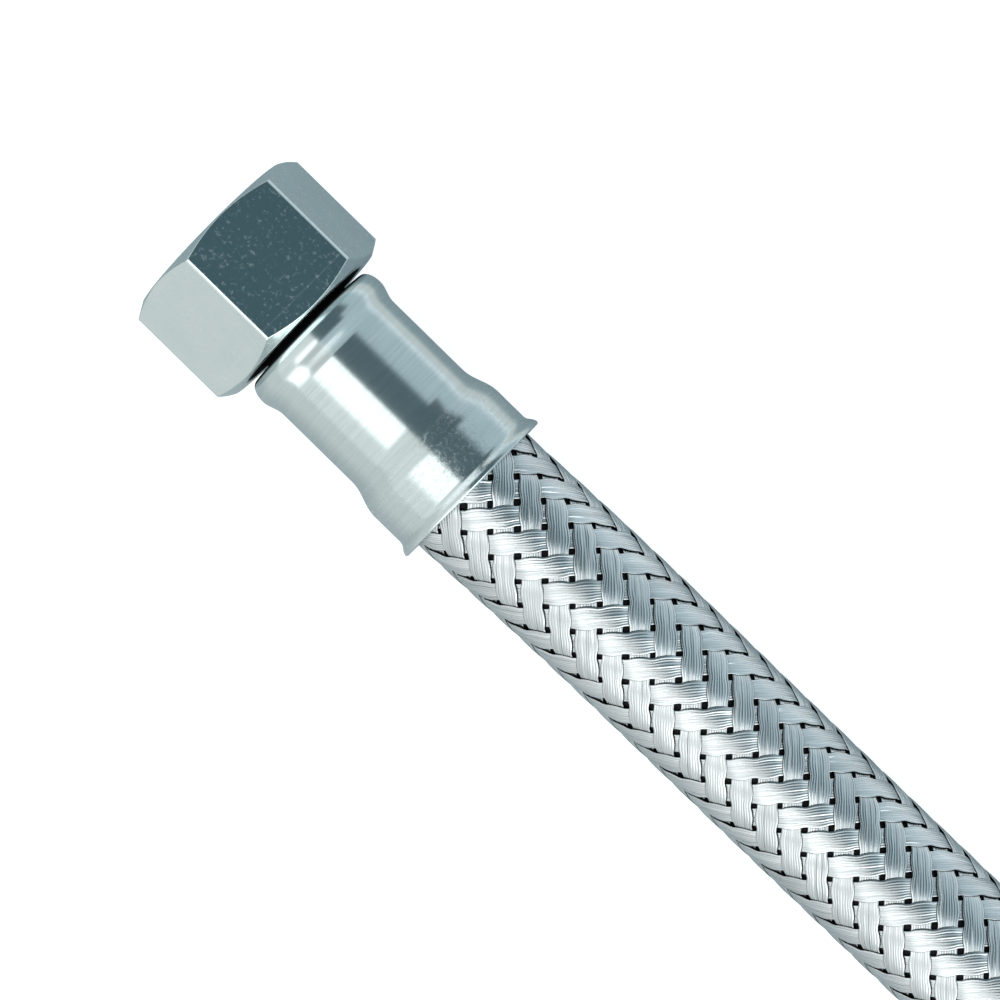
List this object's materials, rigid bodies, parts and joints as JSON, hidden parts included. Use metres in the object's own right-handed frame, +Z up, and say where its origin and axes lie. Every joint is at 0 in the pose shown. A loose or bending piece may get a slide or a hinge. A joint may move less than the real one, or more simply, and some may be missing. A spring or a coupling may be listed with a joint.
{
  "type": "flexible hose",
  "caption": "Short flexible water hose: rubber tube in a braided wire sleeve, crimped at both ends into ferrules with hexagonal swivel nuts and flat gaskets.",
  "frame": {"origin": "on the surface that the hose lies on, under the middle of the hose", "axes": "+X along the hose from the left fitting to the right one, +Z up"},
  "size_m": [0.3, 0.0278, 0.024],
  "materials": {
    "nut_plating": "satin",
    "ferrule_steel": "gloss",
    "braid_wire": "satin",
    "insert_brass": "satin",
    "tube_rubber": "matte",
    "gasket_rubber": "matte"
  },
  "bodies": {
    "hose": {"braid_sleeve": "braid_wire", "inner_tube": "tube_rubber", "ferrule_left": "ferrule_steel", "ferrule_right": "ferrule_steel", "insert_left": "insert_brass", "insert_right": "insert_brass", "gasket_left": "gasket_rubber", "gasket_right": "gasket_rubber"},
    "nut_left": {"swivel_nut_left": "nut_plating"},
    "nut_right": {"swivel_nut_right": "nut_plating"}
  },
  "joints": [
    {"name": "nut_left_swivel", "type": "hinge", "parent": "hose", "child": "nut_left", "pos_m": [-0.142, 0, 0.012], "axis": [1, 0, 0], "continuous": true},
    {"name": "nut_right_swivel", "type": "hinge", "parent": "hose", "child": "nut_right", "pos_m": [0.142, 0, 0.012], "axis": [1, 0, 0], "continuous": true}
  ]
}
